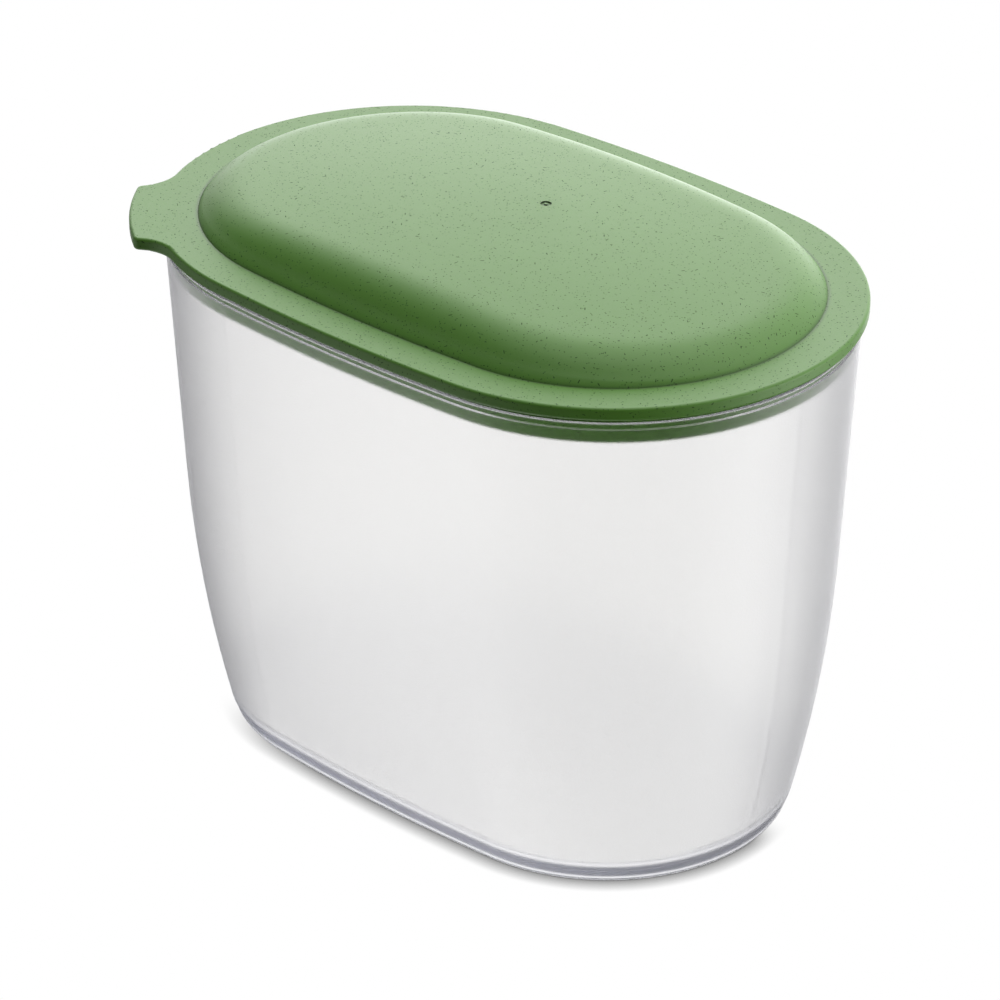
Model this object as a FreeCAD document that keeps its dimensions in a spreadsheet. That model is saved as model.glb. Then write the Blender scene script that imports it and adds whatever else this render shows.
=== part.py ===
# Oval food storage container, about four litres: a clear moulded tub with a frosted wall,
# and a coloured plug-in lid with a wide flange, a pull tab and a crowned top.
# Millimetres. +Z is up, +X runs along the oval, and the origin is the middle of the base.
import FreeCAD, Part
import math
import os
import Sketcher

SIZES = {
    # Outline of the lid, which every other outline is set in from
    "lid_length": 226.0,
    "lid_width": 150.0,
    "side_radius": 590.0,
    # Pull tab, on the diagonal of one rounded end
    "tab_angle": 45.0,
    "tab_reach": 8.2,
    "tab_width": 37.0,
    "tab_corner_radius": 2.0,
    "tab_flare_radius": 13.0,
    # Tub: wall, rim and base
    "rim_height": 158.3,
    "rim_inset": 2.4,
    "rim_round": 0.5,
    "rim_band_height": 1.3,
    "wall_thickness": 2.0,
    "wall_draft": 2.95,
    "bend_height": 82.4,
    "bend_radius": 443.0,
    "frost_step": 0.45,
    "base_band_height": 4.1,
    "foot_height": 1.0,
    "foot_inset": 0.9,
    "foot_width": 3.0,
    "base_recess": 0.8,
    "floor_thickness": 3.0,
    "floor_corner_radius": 6.0,
    "floor_lap": 4.0,
    # Lid: flange, seat on the rim, plug skirt and crowned top
    "flange_thickness": 3.9,
    "flange_edge_radius": 0.9,
    "seat_height": 2.1,
    "seat_reach": 0.8,
    "skirt_clearance": 0.3,
    "skirt_depth": 6.8,
    "skirt_thickness": 1.8,
    "skirt_lead_in": 0.6,
    "dome_inset": 11.9,
    "dome_slope": 50.0,
    "dome_height": 11.9,
    "dome_crown_rise": 6.5,
    "dome_roll_radius": 17.5,
    "lid_wall": 2.2,
    # Gate mark left by the moulding tool on the lid's top
    "gate_x": 5.4,
    "gate_y": 10.5,
    "gate_diameter": 3.3,
    "gate_nub_diameter": 1.0,
    "gate_depth": 0.45,
    # How far joined features run into each other
    "overlap": 1.0,
}

doc = FreeCAD.newDocument("food_storage_container")
sheet = doc.addObject("Spreadsheet::Sheet", "sizes")
for row, (alias, size) in enumerate(SIZES.items(), start=1):
    sheet.set(f"A{row}", alias)
    sheet.set(f"B{row}", str(size))
    sheet.setAlias(f"B{row}", alias)
doc.recompute()


def value(expression):
    """The number that an expression in the sheet's sizes gives."""
    return float(sheet.evalExpression(expression))


# Outline: two end arcs about points on X and two long, slightly bowed side arcs, all tangent
HALF_LENGTH = "(sizes.lid_length / 2)"
HALF_WIDTH = "(sizes.lid_width / 2)"
END_RADIUS = (
    f"((2 * sizes.side_radius * {HALF_WIDTH} - {HALF_LENGTH} ^ 2 - {HALF_WIDTH} ^ 2)"
    f" / (2 * (sizes.side_radius - {HALF_LENGTH})))"
)
END_CENTRE = f"({HALF_LENGTH} - {END_RADIUS})"


def origin_plane(body, role):
    """One of a body's own origin planes."""
    return next(f for f in body.Origin.OriginFeatures if f.Role == role)


def new_sketch(body, name, role, height="0"):
    """An empty sketch on an origin plane of its body, raised by the height expression."""
    sketch = body.newObject("Sketcher::SketchObject", name)
    sketch.AttachmentSupport = [(origin_plane(body, role), "")]
    sketch.MapMode = "FlatFace"
    sketch.setExpression("AttachmentOffset.Base.z", height)
    return sketch


def bind(sketch, constraint, expression):
    """Adds one dimensional constraint whose size is an expression."""
    index = sketch.addConstraint(constraint)
    sketch.setExpression(f"Constraints[{index}]", expression)


def add_arc(sketch, centre, radius, start, end):
    """Adds an anticlockwise arc between two points of its circle and returns its index."""
    circle = Part.Circle(centre, FreeCAD.Vector(0, 0, 1), radius)
    first = math.atan2(start.y - centre.y, start.x - centre.x)
    last = math.atan2(end.y - centre.y, end.x - centre.x)
    return sketch.addGeometry(Part.ArcOfCircle(circle, first, last))


def fix_point(sketch, geometry, point, x, y):
    """Places a point of a sketch by two expressions, measured from the sketch's origin."""
    for kind, axis, expression in (("DistanceX", -2, x), ("DistanceY", -1, y)):
        if abs(value(expression)) < 1e-9:
            sketch.addConstraint(Sketcher.Constraint("PointOnObject", geometry, point, axis))
        else:
            bind(sketch, Sketcher.Constraint(kind, -1, 1, geometry, point, value(expression)), expression)


def polar(centre, radius, degrees):
    """The point at a radius and an angle about a centre."""
    angle = math.radians(degrees)
    return centre + FreeCAD.Vector(radius * math.cos(angle), radius * math.sin(angle), 0)


def outline_frame():
    """Centres of the right end arc and of the back side arc, and the angle where the two meet."""
    right = FreeCAD.Vector(value(END_CENTRE), 0, 0)
    below = FreeCAD.Vector(0, value(f"{HALF_WIDTH} - sizes.side_radius"), 0)
    join = math.degrees(math.atan2(-below.y, right.x))
    return right, below, join


def oval_sketch(body, name, height, inset):
    """The lid's outline without its tab, set in by an expression: four tangent arcs."""
    sketch = new_sketch(body, name, "XY_Plane", height)
    end_radius = f"{END_RADIUS} - ({inset})"
    side_radius = f"sizes.side_radius - ({inset})"
    right, below, join = outline_frame()
    left = -right
    corners = [
        polar(right, value(end_radius), join),
        polar(left, value(end_radius), 180 - join),
        polar(left, value(end_radius), 180 + join),
        polar(right, value(end_radius), -join),
    ]
    centres = [below, left, -below, right]
    radii = [side_radius, end_radius, side_radius, end_radius]
    arcs = []
    for place, centre in enumerate(centres):
        start = corners[place]
        end = corners[(place + 1) % len(corners)]
        arcs.append(add_arc(sketch, centre, value(radii[place]), start, end))
    for arc, following in zip(arcs, arcs[1:] + arcs[:1]):
        sketch.addConstraint(Sketcher.Constraint("Tangent", arc, 2, following, 1))
    for arc, radius in zip(arcs, radii):
        bind(sketch, Sketcher.Constraint("Radius", arc, value(radius)), radius)
    fix_point(sketch, arcs[1], 3, f"-{END_CENTRE}", "0")
    fix_point(sketch, arcs[3], 3, END_CENTRE, "0")
    return sketch


def spine_sketch(body, name):
    """The lid's outline as a sweep path that starts on the X axis, at the end of the oval."""
    sketch = new_sketch(body, name, "XY_Plane")
    right, below, join = outline_frame()
    left = -right
    end_radius = value(END_RADIUS)
    corners = [
        polar(right, end_radius, 0),
        polar(right, end_radius, join),
        polar(left, end_radius, 180 - join),
        polar(left, end_radius, 180 + join),
        polar(right, end_radius, -join),
    ]
    centres = [right, below, left, -below, right]
    radii = [END_RADIUS, "sizes.side_radius", END_RADIUS, "sizes.side_radius", END_RADIUS]
    arcs = []
    for place, centre in enumerate(centres):
        start = corners[place]
        end = corners[(place + 1) % len(corners)]
        arcs.append(add_arc(sketch, centre, value(radii[place]), start, end))
    for arc, following in zip(arcs[:-1], arcs[1:]):
        sketch.addConstraint(Sketcher.Constraint("Tangent", arc, 2, following, 1))
    sketch.addConstraint(Sketcher.Constraint("Coincident", arcs[-1], 2, arcs[0], 1))
    sketch.addConstraint(Sketcher.Constraint("PointOnObject", arcs[0], 1, -1))
    for arc, radius in zip(arcs[:-1], radii[:-1]):
        bind(sketch, Sketcher.Constraint("Radius", arc, value(radius)), radius)
    fix_point(sketch, arcs[0], 3, END_CENTRE, "0")
    fix_point(sketch, arcs[2], 3, f"-{END_CENTRE}", "0")
    sketch.addConstraint(Sketcher.Constraint("Coincident", arcs[4], 3, arcs[0], 3))
    return sketch


def section_sketch(body, name, path):
    """A closed section in the XZ plane: corners (x, z, bend), where bend is None for a straight
    run to the next corner, or (radius, side) for an arc with its centre left (+1) or right (-1)."""
    sketch = new_sketch(body, name, "XZ_Plane")
    corners = [FreeCAD.Vector(value(x), value(z), 0) for x, z, _ in path]
    ends = []
    for place, (_, _, bend) in enumerate(path):
        start = corners[place]
        end = corners[(place + 1) % len(path)]
        if bend is None:
            index = sketch.addGeometry(Part.LineSegment(start, end))
            ends.append((index, 1, 2))
            continue
        radius, side = bend
        chord = end - start
        left = FreeCAD.Vector(-chord.y, chord.x, 0).normalize()
        rise = math.sqrt(value(radius) ** 2 - (chord.Length / 2) ** 2)
        centre = (start + end) / 2 + left * (side * rise)
        if side > 0:
            index = add_arc(sketch, centre, value(radius), start, end)
            ends.append((index, 1, 2))
        else:
            index = add_arc(sketch, centre, value(radius), end, start)
            ends.append((index, 2, 1))
    for (index, _, last), (following, first, _) in zip(ends, ends[1:] + ends[:1]):
        sketch.addConstraint(Sketcher.Constraint("Coincident", index, last, following, first))
    for (index, first, _), (x, z, bend) in zip(ends, path):
        fix_point(sketch, index, first, x, z)
        if bend is not None:
            bind(sketch, Sketcher.Constraint("Radius", index, value(bend[0])), bend[0])
    return sketch


def swept_ring(body, name, path):
    """A closed section carried round the lid's outline."""
    spine = spine_sketch(body, f"{name}_path")
    section = section_sketch(body, f"{name}_section", path)
    doc.recompute()
    ring = body.newObject("PartDesign::AdditivePipe", name)
    ring.Profile = section
    ring.Spine = (spine, [f"Edge{n}" for n in range(1, len(spine.Shape.Edges) + 1)])
    doc.recompute()
    return ring


# Wall of the tub, as half-length at a height: a drafted upper part and a tangent curve below it
RIM_X = f"({HALF_LENGTH} - sizes.rim_inset)"
DRAFT = "tan(sizes.wall_draft)"
BEND_X = f"({RIM_X} - (sizes.rim_height - sizes.bend_height) * {DRAFT})"
BEND_CENTRE_X = f"({BEND_X} - sizes.bend_radius * cos(sizes.wall_draft))"
BEND_CENTRE_Z = "(sizes.bend_height + sizes.bend_radius * sin(sizes.wall_draft))"


def drafted_x(height):
    """Half-length of the wall's outside at a height on its drafted upper part."""
    return f"({RIM_X} - (sizes.rim_height - ({height})) * {DRAFT})"


def curved_x(height):
    """Half-length of the wall's outside at a height on its curved lower part."""
    return f"({BEND_CENTRE_X} + sqrt(sizes.bend_radius ^ 2 - ({BEND_CENTRE_Z} - ({height})) ^ 2))"


def build_container():
    """The tub: one swept wall with rim, frosted panel and foot, closed by a floor."""
    body = doc.addObject("PartDesign::Body", "container")
    rim_band_foot = "(sizes.rim_height - sizes.rim_band_height)"
    frost_top = f"({rim_band_foot} - sizes.frost_step)"
    frost_foot = "(sizes.base_band_height + sizes.frost_step)"
    foot_x = f"({curved_x('sizes.foot_height')} - sizes.foot_inset)"
    foot_inner_x = f"({foot_x} - sizes.foot_width)"
    floor_top = "(sizes.base_recess + sizes.floor_thickness)"
    inner_centre_x = f"({BEND_CENTRE_X} - sizes.wall_thickness)"
    corner_reach = "(sizes.bend_radius - sizes.floor_corner_radius)"
    corner_drop = f"({BEND_CENTRE_Z} - {floor_top} - sizes.floor_corner_radius)"
    corner_run = f"sqrt({corner_reach} ^ 2 - {corner_drop} ^ 2)"
    corner_x = f"({inner_centre_x} + {corner_run})"
    corner_end_x = f"({inner_centre_x} + sizes.bend_radius * {corner_run} / {corner_reach})"
    corner_end_z = f"({BEND_CENTRE_Z} - sizes.bend_radius * {corner_drop} / {corner_reach})"
    floor_edge_x = f"({corner_x} - sizes.floor_lap)"
    inner_rim_x = f"({RIM_X} - sizes.wall_thickness)"
    bend = "sizes.bend_radius"
    rim_round = "sizes.rim_round"
    path = [
        (f"{inner_rim_x} + {rim_round}", "sizes.rim_height", None),
        (f"{RIM_X} - {rim_round}", "sizes.rim_height", (rim_round, -1)),
        (RIM_X, f"sizes.rim_height - {rim_round}", None),
        (drafted_x(rim_band_foot), rim_band_foot, None),
        (f"{drafted_x(frost_top)} + sizes.frost_step", frost_top, None),
        (f"{BEND_X} + sizes.frost_step", "sizes.bend_height", (bend, -1)),
        (f"{curved_x(frost_foot)} + sizes.frost_step", frost_foot, None),
        (curved_x("sizes.base_band_height"), "sizes.base_band_height", (bend, -1)),
        (curved_x("sizes.foot_height"), "sizes.foot_height", None),
        (foot_x, "sizes.foot_height", None),
        (foot_x, "0", None),
        (foot_inner_x, "0", None),
        (foot_inner_x, "sizes.base_recess", None),
        (floor_edge_x, "sizes.base_recess", None),
        (floor_edge_x, floor_top, None),
        (corner_x, floor_top, ("sizes.floor_corner_radius", 1)),
        (corner_end_x, corner_end_z, (bend, 1)),
        (f"{BEND_X} - sizes.wall_thickness", "sizes.bend_height", None),
        (inner_rim_x, f"sizes.rim_height - {rim_round}", (rim_round, -1)),
    ]
    swept_ring(body, "tub_wall", path)
    floor_inset = f"{HALF_LENGTH} - {floor_edge_x} - sizes.overlap"
    outline = oval_sketch(body, "floor_outline", "sizes.base_recess", floor_inset)
    floor = body.newObject("PartDesign::Pad", "floor")
    floor.Profile = outline
    floor.setExpression("Length", "sizes.floor_thickness")
    doc.recompute()
    return body


def flange_sketch(body, name, height):
    """The lid's outline with its tab: the oval's arcs, and round the left end two flares,
    two small corners and the tab's outer edge, which shares the end arc's centre."""
    sketch = new_sketch(body, name, "XY_Plane", height)
    tab_radius = f"{END_RADIUS} + sizes.tab_reach"
    corner = "sizes.tab_corner_radius"
    flare = "sizes.tab_flare_radius"
    right, below, join = outline_frame()
    left = -right
    end_radius = value(END_RADIUS)
    corner_orbit = value(tab_radius) - value(corner)
    flare_orbit = end_radius + value(flare)
    half_width = value("sizes.tab_width / 2") - value(corner)
    corner_turn = math.degrees(math.asin(half_width / corner_orbit))
    side = value(corner) + value(flare)
    opening = (flare_orbit ** 2 + corner_orbit ** 2 - side ** 2) / (2 * flare_orbit * corner_orbit)
    flare_turn = corner_turn + math.degrees(math.acos(opening))
    middle = 180 + value("sizes.tab_angle")
    flares = [polar(left, flare_orbit, middle - flare_turn), polar(left, flare_orbit, middle + flare_turn)]
    rounds = [polar(left, corner_orbit, middle - corner_turn), polar(left, corner_orbit, middle + corner_turn)]
    meets = [r + (f - r) * (value(corner) / side) for f, r in zip(flares, rounds)]

    arcs = []
    arcs.append(add_arc(sketch, right, end_radius, polar(right, end_radius, -join),
                        polar(right, end_radius, join)))
    arcs.append(add_arc(sketch, below, value("sizes.side_radius"), polar(right, end_radius, join),
                        polar(left, end_radius, 180 - join)))
    arcs.append(add_arc(sketch, left, end_radius, polar(left, end_radius, 180 - join),
                        polar(left, end_radius, middle - flare_turn)))
    arcs.append(add_arc(sketch, flares[0], value(flare), meets[0],
                        polar(left, end_radius, middle - flare_turn)))
    arcs.append(add_arc(sketch, rounds[0], value(corner), meets[0],
                        polar(left, value(tab_radius), middle - corner_turn)))
    arcs.append(add_arc(sketch, left, value(tab_radius), polar(left, value(tab_radius), middle - corner_turn),
                        polar(left, value(tab_radius), middle + corner_turn)))
    arcs.append(add_arc(sketch, rounds[1], value(corner), polar(left, value(tab_radius), middle + corner_turn),
                        meets[1]))
    arcs.append(add_arc(sketch, flares[1], value(flare), polar(left, end_radius, middle + flare_turn),
                        meets[1]))
    arcs.append(add_arc(sketch, left, end_radius, polar(left, end_radius, middle + flare_turn),
                        polar(left, end_radius, 180 + join)))
    arcs.append(add_arc(sketch, -below, value("sizes.side_radius"), polar(left, end_radius, 180 + join),
                        polar(right, end_radius, -join)))

    # The flares curve the other way, so the outline runs through them from end to start
    flare_arcs = (arcs[3], arcs[7])
    first = {arc: 2 if arc in flare_arcs else 1 for arc in arcs}
    last = {arc: 1 if arc in flare_arcs else 2 for arc in arcs}
    for arc, following in zip(arcs, arcs[1:] + arcs[:1]):
        sketch.addConstraint(Sketcher.Constraint("Tangent", arc, last[arc], following, first[following]))
    radii = [END_RADIUS, "sizes.side_radius", END_RADIUS, flare, corner,
             tab_radius, corner, flare, END_RADIUS, "sizes.side_radius"]
    for arc, radius in zip(arcs, radii):
        bind(sketch, Sketcher.Constraint("Radius", arc, value(radius)), radius)
    fix_point(sketch, arcs[0], 3, END_CENTRE, "0")
    fix_point(sketch, arcs[2], 3, f"-{END_CENTRE}", "0")
    sketch.addConstraint(Sketcher.Constraint("Coincident", arcs[5], 3, arcs[2], 3))
    sketch.addConstraint(Sketcher.Constraint("Coincident", arcs[8], 3, arcs[2], 3))
    chord = sketch.addGeometry(Part.LineSegment(rounds[1], rounds[0]), True)
    sketch.addConstraint(Sketcher.Constraint("Coincident", chord, 1, arcs[6], 3))
    sketch.addConstraint(Sketcher.Constraint("Coincident", chord, 2, arcs[4], 3))
    spread = f"sizes.tab_width - 2 * {corner}"
    bind(sketch, Sketcher.Constraint("Distance", chord, value(spread)), spread)
    lean = "90 + sizes.tab_angle"
    bind(sketch, Sketcher.Constraint("Angle", chord, math.radians(value(lean))), lean)
    return sketch


# The lid sits on the rim's inner part, so its flange stands clear above the rim
FLANGE_FOOT = "(sizes.rim_height + sizes.seat_height)"
FLANGE_TOP = f"({FLANGE_FOOT} + sizes.flange_thickness)"
CROWN_TOP = f"({FLANGE_TOP} + sizes.dome_height)"
CORE_TOP = f"({CROWN_TOP} - sizes.lid_wall)"
# The crown is part of a sphere that rises by its named height over the mound's half-length
MOUND_REACH = f"({HALF_LENGTH} - sizes.dome_inset)"
CROWN_RADIUS = f"(({MOUND_REACH} ^ 2 + sizes.dome_crown_rise ^ 2) / (2 * sizes.dome_crown_rise))"


def edges_at(shape, height):
    """Names of a shape's level edges at a height."""
    found = []
    for place, edge in enumerate(shape.Edges, start=1):
        box = edge.BoundBox
        if abs(box.ZMin - height) < 1e-4 and abs(box.ZMax - height) < 1e-4:
            found.append(f"Edge{place}")
    return found


def add_dome(body, prefix, start, inset, top, crown_radius, roll_radius):
    """A crowned oval mound: a sloping wall that starts at a height, with a given inset at the
    flange's top face, cut by a large sphere and rolled over into it."""
    slope = "tan(sizes.dome_slope)"
    low_inset = f"({inset}) - ({FLANGE_TOP} - ({start})) / {slope}"
    high = f"({top} + sizes.overlap)"
    high_inset = f"({inset}) + ({high} - {FLANGE_TOP}) / {slope}"
    low_outline = oval_sketch(body, f"{prefix}_foot", start, low_inset)
    high_outline = oval_sketch(body, f"{prefix}_head", high, high_inset)
    doc.recompute()
    mound = body.newObject("PartDesign::AdditiveLoft", f"{prefix}_mound")
    mound.Profile = low_outline
    mound.Sections = [high_outline]
    mound.Ruled = True
    doc.recompute()

    # The sphere is turned about a level axis, so that no pole or seam of it lies under the roll
    reach = HALF_LENGTH
    level = f"sqrt(({crown_radius}) ^ 2 - {reach} ^ 2)"
    above = f"({crown_radius} + 2 * ({crown_radius} - {level}) + sizes.overlap)"
    path = [
        (f"-{reach}", level, (crown_radius, -1)),
        (reach, level, None),
        (reach, above, None),
        (f"-{reach}", above, None),
    ]
    section = section_sketch(body, f"{prefix}_crown_section", path)
    section.setExpression("AttachmentOffset.Base.y", f"{top} - ({crown_radius})")
    doc.recompute()
    crown = body.newObject("PartDesign::Groove", f"{prefix}_crown")
    crown.Profile = section
    crown.ReferenceAxis = (section, ["H_Axis"])
    crown.setExpression("Angle", f"2 * asin({HALF_WIDTH} / ({crown_radius}))")
    crown.Midplane = True
    doc.recompute()

    sphere = next(f for f in crown.Shape.Faces if isinstance(f.Surface, Part.Sphere))
    names = []
    for place, edge in enumerate(crown.Shape.Edges, start=1):
        if any(edge.isSame(bound) for bound in sphere.Edges):
            names.append(f"Edge{place}")
    roll = body.newObject("PartDesign::Fillet", f"{prefix}_roll")
    roll.Base = (crown, names)
    roll.setExpression("Radius", roll_radius)
    doc.recompute()
    return roll


def build_lid():
    """The lid: flange with tab, seat, plug skirt and crowned top, hollowed from below."""
    body = doc.addObject("PartDesign::Body", "lid_outside")
    outline = flange_sketch(body, "flange_outline", FLANGE_FOOT)
    flange = body.newObject("PartDesign::Pad", "flange")
    flange.Profile = outline
    flange.setExpression("Length", "sizes.flange_thickness")
    doc.recompute()
    rounded = body.newObject("PartDesign::Fillet", "flange_edges")
    levels = (value(FLANGE_FOOT), value(FLANGE_TOP))
    rounded.Base = (flange, [name for level in levels for name in edges_at(flange.Shape, level)])
    rounded.setExpression("Radius", "sizes.flange_edge_radius")
    doc.recompute()

    def skirt_x(height):
        return f"({drafted_x(height)} - sizes.wall_thickness - sizes.skirt_clearance)"

    rim = "sizes.rim_height"
    seat_x = f"({RIM_X} - sizes.wall_thickness + sizes.seat_reach)"
    root = f"({FLANGE_FOOT} + sizes.overlap)"
    tip = f"({rim} - sizes.skirt_depth)"
    lead_top = f"({tip} + sizes.skirt_lead_in)"
    swept_ring(body, "skirt", [
        (seat_x, root, None),
        (seat_x, rim, None),
        (skirt_x(rim), rim, None),
        (skirt_x(lead_top), lead_top, None),
        (f"{skirt_x(tip)} - sizes.skirt_lead_in", tip, None),
        (f"{skirt_x(tip)} - sizes.skirt_thickness", tip, None),
        (f"{skirt_x(root)} - sizes.skirt_thickness", root, None),
    ])
    add_dome(body, "dome", f"({FLANGE_TOP} - sizes.overlap)", "sizes.dome_inset", CROWN_TOP,
             CROWN_RADIUS, "sizes.dome_roll_radius")

    mark = new_sketch(body, "gate_outline", "XY_Plane", CROWN_TOP)
    for diameter in ("sizes.gate_diameter", "sizes.gate_nub_diameter"):
        centre = FreeCAD.Vector(value("sizes.gate_x"), value("sizes.gate_y"), 0)
        circle = Part.Circle(centre, FreeCAD.Vector(0, 0, 1), value(f"{diameter} / 2"))
        index = mark.addGeometry(circle)
        bind(mark, Sketcher.Constraint("Diameter", index, value(diameter)), diameter)
        fix_point(mark, index, 3, "sizes.gate_x", "sizes.gate_y")
    doc.recompute()
    gate = body.newObject("PartDesign::Pocket", "gate_mark")
    gate.Profile = mark
    gate.setExpression("Length", "sizes.gate_depth")
    doc.recompute()

    core = doc.addObject("PartDesign::Body", "lid_inside")
    add_dome(core, "core", f"({FLANGE_FOOT} - sizes.overlap)",
             "sizes.dome_inset + sizes.lid_wall / sin(sizes.dome_slope)", CORE_TOP,
             f"{CROWN_RADIUS} - sizes.lid_wall", "sizes.dome_roll_radius - sizes.lid_wall")
    lid = doc.addObject("Part::Cut", "lid")
    lid.Base = body
    lid.Tool = core
    doc.recompute()
    return lid


pieces = [build_container(), build_lid()]

# Every feature has to be sound before any file is written
for thing in doc.Objects:
    if "Invalid" in thing.State or "Error" in thing.State:
        raise RuntimeError(f"{thing.Name} failed: {thing.State}")
for piece in pieces:
    if piece.Shape.isNull() or not piece.Shape.isValid() or len(piece.Shape.Solids) != 1:
        raise RuntimeError(f"{piece.Label} is not one sound solid")

os.makedirs("parts", exist_ok=True)
for piece in pieces:
    piece.Shape.exportStep(f"parts/{piece.Label}.step")
    box = piece.Shape.BoundBox
    print(f"{piece.Label}: {piece.Shape.Volume / 1000:.1f} cm3, z {box.ZMin:.2f} to {box.ZMax:.2f}, "
          f"{box.XLength:.2f} x {box.YLength:.2f} mm")
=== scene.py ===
import bpy
import math
import numpy as np
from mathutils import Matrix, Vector


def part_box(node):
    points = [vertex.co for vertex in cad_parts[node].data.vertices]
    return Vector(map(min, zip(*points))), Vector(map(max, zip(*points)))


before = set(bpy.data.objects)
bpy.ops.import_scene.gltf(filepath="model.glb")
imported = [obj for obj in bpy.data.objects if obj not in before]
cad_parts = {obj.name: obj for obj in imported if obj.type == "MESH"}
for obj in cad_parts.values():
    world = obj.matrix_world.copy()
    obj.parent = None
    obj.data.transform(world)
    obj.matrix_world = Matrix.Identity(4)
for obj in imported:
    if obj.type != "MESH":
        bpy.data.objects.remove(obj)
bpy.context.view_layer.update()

# Tub: one injection moulding in clear plastic with a faint lavender cast. The tool is polished at the
# rim and inside, and spark-eroded on the outer wall, which leaves a fine satin frost there. A narrow
# band round the foot has no grain.
RIM_BAND = 0.0013
FOOT_BAND = 0.0041
FOOT_ROUGHNESS = 0.36
FOOT_TINT = (0.955, 0.965, 1.0, 1.0)
FROST_STEP = 0.00045
FROST_ROUGHNESS = 0.34
FROST_TINT_LOW = (0.990, 0.985, 0.966, 1.0)
FROST_TINT_HIGH = (1.0, 0.997, 0.981, 1.0)
FROST_GRAIN_PITCH = 0.00050
FROST_GRAIN_DETAIL = 3.0
FROST_GRAIN_ROUGHNESS = 0.65
FROST_GRAIN_EDGE = (0.35, 0.65)
FROST_BUMP = {"Strength": 0.6, "Distance": 0.00016}
POLISH_ROUGHNESS = 0.05
WALL_FACING = 0.02
UNDERSIDE_FACING = -0.7
PLASTIC_IOR = 1.45
CAST = {"Color": (0.36, 0.41, 0.92, 1.0), "Density": 9.0}


def add_node(tree, kind, settings=None, sockets=None):
    """A new node with its settings, and the values of its input sockets by name or place."""
    node = tree.nodes.new(kind)
    for name, setting in (settings or {}).items():
        setattr(node, name, setting)
    for socket, held in (sockets or {}).items():
        node.inputs[socket].default_value = held
    return node


def calculate(tree, operation, first, second=None, third=None):
    """The output of a Math node whose inputs are links or plain numbers."""
    node = add_node(tree, "ShaderNodeMath", {"operation": operation})
    for place, term in enumerate((first, second, third)):
        if term is None:
            continue
        if isinstance(term, (int, float)):
            node.inputs[place].default_value = term
        else:
            tree.links.new(term, node.inputs[place])
    return node.outputs["Value"]


def vector_step(tree, operation, first, second=None, output="Vector"):
    """The output of a Vector Math node whose inputs are links or plain triples."""
    node = add_node(tree, "ShaderNodeVectorMath", {"operation": operation})
    for place, term in enumerate((first, second)):
        if term is None:
            continue
        if isinstance(term, tuple):
            node.inputs[place].default_value = term
        else:
            tree.links.new(term, node.inputs[place])
    return node.outputs[output]


def axis_parts(tree, vector):
    """The X, Y and Z parts of a vector, by name."""
    node = add_node(tree, "ShaderNodeSeparateXYZ")
    tree.links.new(vector, node.inputs["Vector"])
    return node.outputs


def ramp_between(tree, source, low, high, to_low=0.0, to_high=1.0):
    """A smooth step of a value from one level to another."""
    node = add_node(tree, "ShaderNodeMapRange", {"interpolation_type": "SMOOTHSTEP"})
    for socket, held in zip(("From Min", "From Max", "To Min", "To Max"), (low, high, to_low, to_high)):
        node.inputs[socket].default_value = held
    tree.links.new(source, node.inputs["Value"])
    return node.outputs["Result"]


def new_material(name):
    """An empty node material with a Principled shader on its output."""
    material = bpy.data.materials.new(name)
    material.use_nodes = True
    tree = material.node_tree
    tree.nodes.clear()
    shader = add_node(tree, "ShaderNodeBsdfPrincipled")
    output = add_node(tree, "ShaderNodeOutputMaterial")
    tree.links.new(shader.outputs["BSDF"], output.inputs["Surface"])
    return material, tree, shader, output


def noise_value(tree, vector, pitch, detail=2.0, roughness=0.5):
    """Noise from 0 to 1 with a given distance between its lumps."""
    node = add_node(tree, "ShaderNodeTexNoise", {"noise_dimensions": "3D"},
                    {"Scale": 1.0 / pitch, "Detail": detail, "Roughness": roughness})
    tree.links.new(vector, node.inputs["Vector"])
    return node.outputs["Fac"]


def colour_between(tree, factor, low, high):
    """A colour between two colours by a factor."""
    node = add_node(tree, "ShaderNodeMix", {"data_type": "RGBA"})
    for socket, end in (("A", low), ("B", high)):
        if isinstance(end, tuple):
            node.inputs[socket].default_value = end
        else:
            tree.links.new(end, node.inputs[socket])
    tree.links.new(factor, node.inputs["Factor"])
    return node.outputs["Result"]


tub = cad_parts["container"]
frost_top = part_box("container")[1].z - RIM_BAND

tub_plastic, tree, shader, output = new_material("frosted_clear_plastic")
place = add_node(tree, "ShaderNodeTexCoord").outputs["Object"]
place_parts = axis_parts(tree, place)
height = place_parts["Z"]
above_foot = ramp_between(tree, height, FOOT_BAND, FOOT_BAND + FROST_STEP)
below_rim = ramp_between(tree, height, frost_top - FROST_STEP, frost_top, 1.0, 0.0)

# A face is on the outer wall where its own normal, turned back on a face that is seen from behind,
# points away from the upright axis.
surface = add_node(tree, "ShaderNodeNewGeometry").outputs
turned = calculate(tree, "MULTIPLY_ADD", surface["Backfacing"], -2.0, 1.0)
from_axis = vector_step(tree, "MULTIPLY", place, (1.0, 1.0, 0.0))
outward = vector_step(tree, "DOT_PRODUCT", surface["Normal"], from_axis, "Value")
outward = calculate(tree, "MULTIPLY", outward, turned)
outside = calculate(tree, "GREATER_THAN", outward, WALL_FACING)
upward = calculate(tree, "MULTIPLY", axis_parts(tree, surface["Normal"])["Z"], turned)
underside = calculate(tree, "LESS_THAN", upward, UNDERSIDE_FACING)
underside = calculate(tree, "MULTIPLY", underside, calculate(tree, "LESS_THAN", height, FOOT_BAND))
frost = calculate(tree, "MULTIPLY", calculate(tree, "MULTIPLY", above_foot, below_rim), outside)
frost = calculate(tree, "MAXIMUM", frost, underside)
foot_face = calculate(tree, "MULTIPLY", calculate(tree, "SUBTRACT", 1.0, above_foot), outside)

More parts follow.
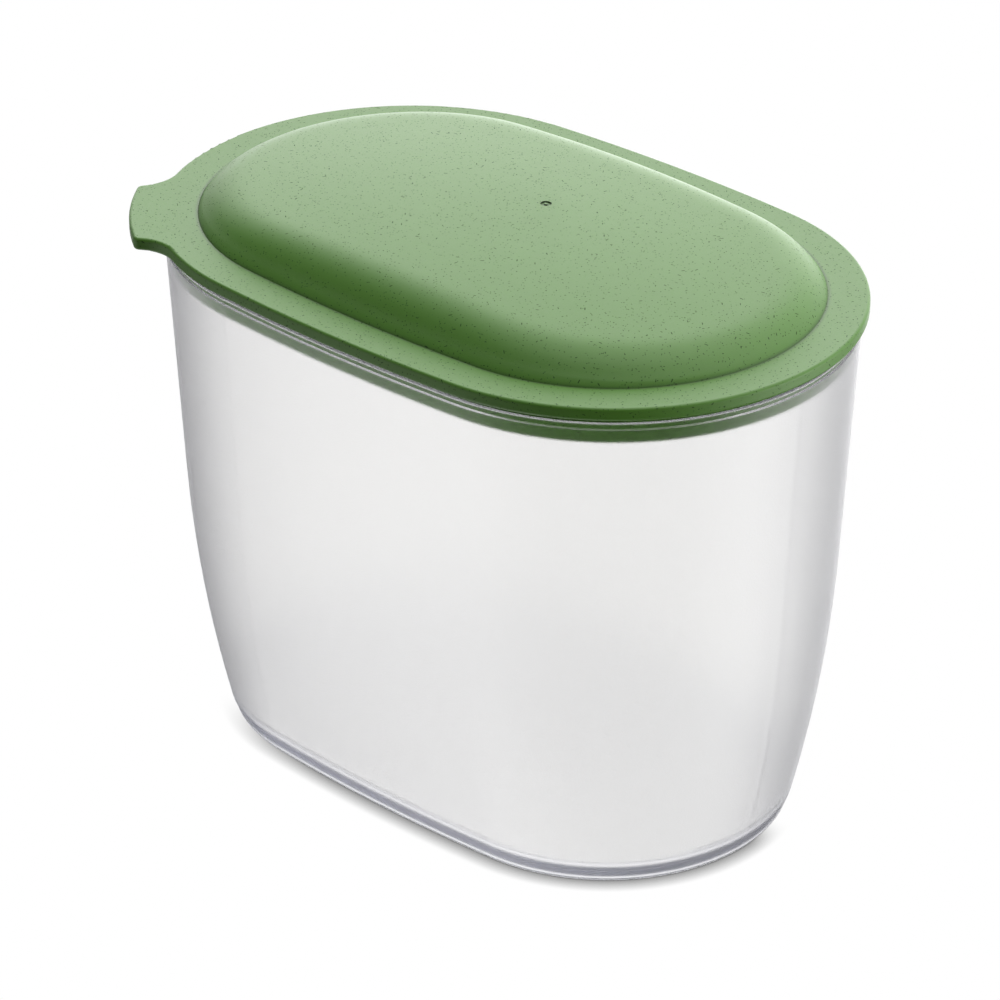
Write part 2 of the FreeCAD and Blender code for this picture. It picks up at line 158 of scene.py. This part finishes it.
grain = noise_value(tree, place, FROST_GRAIN_PITCH, FROST_GRAIN_DETAIL, FROST_GRAIN_ROUGHNESS)
pits = calculate(tree, "MULTIPLY", ramp_between(tree, grain, *FROST_GRAIN_EDGE, 1.0, 0.0), frost)
satin_tint = colour_between(tree, pits, FROST_TINT_HIGH, FROST_TINT_LOW)
tree.links.new(colour_between(tree, foot_face, satin_tint, FOOT_TINT), shader.inputs["Base Color"])
roughness = calculate(tree, "MULTIPLY_ADD", frost, FROST_ROUGHNESS - POLISH_ROUGHNESS, POLISH_ROUGHNESS)
roughness = calculate(tree, "MULTIPLY_ADD", foot_face, FOOT_ROUGHNESS - POLISH_ROUGHNESS, roughness)
tree.links.new(roughness, shader.inputs["Roughness"])
bump = add_node(tree, "ShaderNodeBump", None, FROST_BUMP)
tree.links.new(calculate(tree, "MULTIPLY", grain, frost), bump.inputs["Height"])
tree.links.new(bump.outputs["Normal"], shader.inputs["Normal"])
shader.inputs["Transmission Weight"].default_value = 1.0
shader.inputs["IOR"].default_value = PLASTIC_IOR
cast = add_node(tree, "ShaderNodeVolumeAbsorption", None, CAST)
tree.links.new(cast.outputs["Volume"], output.inputs["Volume"])
tub.data.materials.clear()
tub.data.materials.append(tub_plastic)

# Lid: one moulding in green polypropylene filled with fine dark plant fibres. Its skirt plugs into
# the tub's rim, its flange rests on it, and the tab on the corner lifts it off.
LID_GREEN = (0.080, 0.218, 0.022, 1.0)
LID_GREEN_DEEP = (0.073, 0.200, 0.019, 1.0)
LID_ROUGHNESS = 0.43
LID_IOR = 1.50
LID_BUMP = {"Strength": 0.2, "Distance": 0.00006}
MOTTLE_PITCH = 0.006
MOTTLE_DETAIL = 3.0
SATIN_PITCH = 0.00035
SATIN_EDGE = (0.2, 0.8)
SATIN_SPREAD = (-0.04, 0.05)
FIBRE_COLOUR = (0.012, 0.034, 0.004, 1.0)
FIBRE_ROUGHNESS = 0.95
# Each kind of fibre: distance between fibres, half length, half width, strength.
FIBRES = {
    "long": (0.0018, 0.00060, 0.00013, 1.0),
    "short": (0.0013, 0.00030, 0.00012, 0.8),
}
FIBRE_END = 0.8
FIBRE_SIDE = (1.3, 0.7)
# Painted shade: the base colour darkens in the crease at the dome's foot, where an occlusion test finds
# close surfaces.
CREASE_SHADE_REACH = 0.0014
CREASE_SHADE_SAMPLES = 8
CREASE_SHADE_EDGE = (0.82, 0.97)
CREASE_SHADE_DEPTH = 0.35
CREASE_SHADE_COLOUR = (0.0, 0.0, 0.0, 1.0)
CROWN_START = (0.1645, 0.1690)
CROWN_BLEND = 0.009
CROWN_SAMPLES = 8


def fibre_mask(tree, vector, pitch, half_length, half_width):
    """One short straight fibre in each cell of a scattered grid: the distance along the fibre's
    random direction and the distance across it are each cut off at its half size."""
    cells = add_node(tree, "ShaderNodeTexVoronoi", {"voronoi_dimensions": "3D", "feature": "F1"},
                     {"Scale": 1.0 / pitch, "Randomness": 1.0})
    tree.links.new(vector, cells.inputs["Vector"])
    offset = vector_step(tree, "SUBTRACT", vector, cells.outputs["Position"])
    spread = vector_step(tree, "SUBTRACT", cells.outputs["Color"], (0.5, 0.5, 0.5))
    direction = vector_step(tree, "NORMALIZE", spread)
    along = vector_step(tree, "DOT_PRODUCT", offset, direction, "Value")
    square = vector_step(tree, "DOT_PRODUCT", offset, offset, "Value")
    square_across = calculate(tree, "SUBTRACT", square, calculate(tree, "MULTIPLY", along, along))
    across = calculate(tree, "SQRT", square_across)
    in_length = ramp_between(tree, calculate(tree, "ABSOLUTE", along), half_length, half_length * FIBRE_END)
    in_width = ramp_between(tree, across, half_width * FIBRE_SIDE[0], half_width * FIBRE_SIDE[1])
    return calculate(tree, "MULTIPLY", in_length, in_width)


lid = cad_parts["lid"]

lid_plastic, tree, shader, output = new_material("speckled_green_plastic")
place = add_node(tree, "ShaderNodeTexCoord").outputs["Object"]
mottle = noise_value(tree, place, MOTTLE_PITCH, MOTTLE_DETAIL)
colour = colour_between(tree, mottle, LID_GREEN_DEEP, LID_GREEN)
speckle = None
for pitch, half_length, half_width, depth in FIBRES.values():
    fibres = calculate(tree, "MULTIPLY", fibre_mask(tree, place, pitch, half_length, half_width), depth)
    speckle = fibres if speckle is None else calculate(tree, "MAXIMUM", speckle, fibres)
colour = colour_between(tree, speckle, colour, FIBRE_COLOUR)
# Painted shade: the base colour is mixed towards black where the occlusion test finds the crease closed in.
crease_shade = add_node(tree, "ShaderNodeAmbientOcclusion", {"samples": CREASE_SHADE_SAMPLES, "only_local": True},
                  {"Distance": CREASE_SHADE_REACH})
unshaded_share = ramp_between(tree, crease_shade.outputs["AO"], *CREASE_SHADE_EDGE, CREASE_SHADE_DEPTH, 1.0)
tree.links.new(colour_between(tree, unshaded_share, CREASE_SHADE_COLOUR, colour), shader.inputs["Base Color"])

satin = noise_value(tree, place, SATIN_PITCH)
satin_low, satin_high = (LID_ROUGHNESS + step for step in SATIN_SPREAD)
satin_roughness = ramp_between(tree, satin, *SATIN_EDGE, satin_low, satin_high)
roughness = calculate(tree, "MULTIPLY_ADD", speckle, FIBRE_ROUGHNESS - LID_ROUGHNESS, satin_roughness)
tree.links.new(roughness, shader.inputs["Roughness"])

# The crown's normals are blended over its joints, and the flange keeps its own.
on_crown = ramp_between(tree, axis_parts(tree, place)["Z"], *CROWN_START)
blended = add_node(tree, "ShaderNodeBevel", {"samples": CROWN_SAMPLES}, {"Radius": CROWN_BLEND})
moulded = add_node(tree, "ShaderNodeMix", {"data_type": "VECTOR"})
tree.links.new(on_crown, moulded.inputs["Factor"])
tree.links.new(add_node(tree, "ShaderNodeNewGeometry").outputs["Normal"], moulded.inputs["A"])
tree.links.new(blended.outputs["Normal"], moulded.inputs["B"])
bump = add_node(tree, "ShaderNodeBump", None, LID_BUMP)
tree.links.new(satin, bump.inputs["Height"])
tree.links.new(moulded.outputs["Result"], bump.inputs["Normal"])
tree.links.new(bump.outputs["Normal"], shader.inputs["Normal"])
shader.inputs["IOR"].default_value = LID_IOR
lid.data.materials.clear()
lid.data.materials.append(lid_plastic)

# Studio: a white floor with a painted soft contact shadow on the viewer's side, clear from below, a white
# backdrop that stands behind the object from every side, soft light from above, from behind, from the
# floor and from a reflector on each side, and the camera.
FLOOR_HALF = 6.0
CONTACT_REACH = 0.0055
CONTACT_SAMPLES = 8
FOOT_HALF = (0.094, 0.056)
SHADOW_EDGE = (0.22, 0.65)
CAMERA_AZIMUTH = math.radians(42.77)
CAMERA_ELEVATION = math.radians(28.96)
CAMERA_DISTANCE = 1.349
CAMERA_TARGET = Vector((-0.0028, -0.0001, 0.07994))
CAMERA_LENS = 163.4
CAMERA_SENSOR = 36.0
CAMERA_NEAR = 0.01
# Each glow: direction, strength, tightness.
GLOWS = {
    "overhead": ((0.0, 0.0, 1.0), 1.55, 22.0),
    "softbox behind": ((-0.359, 0.390, 0.848), 1.35, 22.0),
    "softbox right": ((0.260, 0.462, 0.848), 2.20, 22.0),
    "backdrop": ((-0.618, 0.672, 0.407), 2.15, 22.0),
    "backdrop right": ((0.038, 0.913, 0.407), 1.10, 22.0),
    "low backdrop": ((-0.523, 0.812, -0.259), 3.10, 22.0),
    "floor bounce": ((-0.269, -0.243, -0.932), 2.20, 25.0),
    "right reflector": ((0.813, 0.565, -0.139), 3.80, 14.0),
    "left reflector": ((-0.662, -0.729, -0.174), 0.65, 10.0),
}
FILL = 0.01
WALL_GLOW = 0.85
BACKDROP_COLOUR = (1.0, 1.0, 1.0, 1.0)
BACKDROP_EDGE = (-0.35, 0.1)
PAPER_EDGE = (0.6, 0.85)
# The part of the backdrop that is mirrored, by the viewer's right, up and ahead.
MIRROR_AXIS = (0.06886, 0.654419, 0.752974)
MIRROR_EDGE = (0.64, 0.95)
FIRST_BOUNCE = 0.5


def from_camera(tree, vector):
    """A direction in the axes of the camera that looks: right, up and ahead."""
    node = add_node(tree, "ShaderNodeVectorTransform",
                    {"vector_type": "VECTOR", "convert_from": "WORLD", "convert_to": "CAMERA"})
    tree.links.new(vector, node.inputs["Vector"])
    return node.outputs["Vector"]


def soft_lobe(tree, direction, axis, power):
    """A soft patch round an axis: the cosine of the angle to it, moved into 0 to 1, to a power."""
    facing = vector_step(tree, "DOT_PRODUCT", direction, axis, "Value")
    facing = calculate(tree, "MULTIPLY_ADD", facing, 0.5, 0.5)
    return calculate(tree, "POWER", calculate(tree, "MAXIMUM", facing, 0.0), power)


corners = np.array([[-1, -1, 0], [1, -1, 0], [1, 1, 0], [-1, 1, 0]], float) * FLOOR_HALF
floor_mesh = bpy.data.meshes.new("studio_floor")
floor_mesh.from_pydata(corners.tolist(), [], [(0, 1, 2, 3)])
floor = bpy.data.objects.new("studio_floor", floor_mesh)
bpy.context.scene.collection.objects.link(floor)
floor.visible_diffuse = False
floor.visible_glossy = False
floor.visible_transmission = False
floor.visible_shadow = False
floor_paint = bpy.data.materials.new("studio_floor")
floor_paint.use_nodes = True
tree = floor_paint.node_tree
tree.nodes.clear()
# Painted shadow: the floor's emission is dimmed near the object by an occlusion test, only on the side
# towards the viewer.
contact = add_node(tree, "ShaderNodeAmbientOcclusion", {"samples": CONTACT_SAMPLES},
                   {"Distance": CONTACT_REACH})
shade = calculate(tree, "SUBTRACT", 1.0, contact.outputs["AO"])
place = add_node(tree, "ShaderNodeTexCoord").outputs["Object"]
away = vector_step(tree, "MULTIPLY", place, (FOOT_HALF[0] ** -2, FOOT_HALF[1] ** -2, 0.0))
away = from_camera(tree, vector_step(tree, "NORMALIZE", away))
towards = (0.0, 0.0, -1.0 / math.cos(CAMERA_ELEVATION))
in_front = vector_step(tree, "DOT_PRODUCT", away, towards, "Value")
shade = calculate(tree, "MULTIPLY", shade, ramp_between(tree, in_front, *SHADOW_EDGE))
paper = add_node(tree, "ShaderNodeEmission")
tree.links.new(calculate(tree, "SUBTRACT", 1.0, shade), paper.inputs["Strength"])
one_sided = add_node(tree, "ShaderNodeMixShader")
tree.links.new(add_node(tree, "ShaderNodeNewGeometry").outputs["Backfacing"], one_sided.inputs["Fac"])
tree.links.new(paper.outputs["Emission"], one_sided.inputs[1])
tree.links.new(add_node(tree, "ShaderNodeBsdfTransparent").outputs["BSDF"], one_sided.inputs[2])
floor_output = add_node(tree, "ShaderNodeOutputMaterial")
tree.links.new(one_sided.outputs["Shader"], floor_output.inputs["Surface"])
floor_mesh.materials.append(floor_paint)

world = bpy.data.worlds.new("studio")
world.use_nodes = True
tree = world.node_tree
tree.nodes.clear()
rays = add_node(tree, "ShaderNodeLightPath").outputs
direction = add_node(tree, "ShaderNodeTexCoord").outputs["Generated"]
view_direction = from_camera(tree, direction)
direct = calculate(tree, "LESS_THAN", rays["Diffuse Depth"], FIRST_BOUNCE)
scattered = calculate(tree, "SUBTRACT", 1.0, direct)

# What is seen: white by the camera, and through the wall the backdrop and the floor, or the lit wall.
ahead = ramp_between(tree, axis_parts(tree, view_direction)["Z"], *BACKDROP_EDGE)
down = vector_step(tree, "DOT_PRODUCT", direction, (0.0, 0.0, -1.0), "Value")
paper_share = calculate(tree, "MAXIMUM", ahead, ramp_between(tree, down, *PAPER_EDGE))
backdrop = calculate(tree, "MULTIPLY", paper_share, direct)
through = calculate(tree, "MULTIPLY_ADD", scattered, WALL_GLOW, backdrop)
through = calculate(tree, "MULTIPLY", rays["Is Transmission Ray"], through)
seen = calculate(tree, "MAXIMUM", rays["Is Camera Ray"], through)

# What lights: the glows for all other rays, with the backdrop mirrored in gloss.
mirror_side = vector_step(tree, "DOT_PRODUCT", view_direction, MIRROR_AXIS, "Value")
mirror_view = calculate(tree, "MULTIPLY", ramp_between(tree, mirror_side, *MIRROR_EDGE), direct)
glow = calculate(tree, "MULTIPLY_ADD", rays["Is Glossy Ray"], mirror_view, FILL)
for axis, strength, power in GLOWS.values():
    glow = calculate(tree, "MULTIPLY_ADD", soft_lobe(tree, direction, axis, power), strength, glow)
viewing = calculate(tree, "ADD", rays["Is Camera Ray"], rays["Is Transmission Ray"])
lighting = calculate(tree, "SUBTRACT", 1.0, calculate(tree, "MINIMUM", viewing, 1.0))
background = add_node(tree, "ShaderNodeBackground", None, {"Color": BACKDROP_COLOUR})
tree.links.new(calculate(tree, "MULTIPLY_ADD", glow, lighting, seen), background.inputs["Strength"])
world_output = add_node(tree, "ShaderNodeOutputWorld")
tree.links.new(background.outputs["Background"], world_output.inputs["Surface"])
bpy.context.scene.world = world

back = Vector((math.sin(CAMERA_AZIMUTH) * math.cos(CAMERA_ELEVATION),
               -math.cos(CAMERA_AZIMUTH) * math.cos(CAMERA_ELEVATION),
               math.sin(CAMERA_ELEVATION)))
camera_data = bpy.data.cameras.new("camera")
camera_data.sensor_width = CAMERA_SENSOR
camera_data.lens = CAMERA_LENS
camera_data.clip_start = CAMERA_NEAR
camera = bpy.data.objects.new("camera", camera_data)
camera.location = CAMERA_TARGET + back * CAMERA_DISTANCE
camera.rotation_euler = back.to_track_quat("Z", "Y").to_euler()
bpy.context.scene.collection.objects.link(camera)
bpy.context.scene.camera = camera
bpy.context.scene.view_settings.view_transform = "Standard"
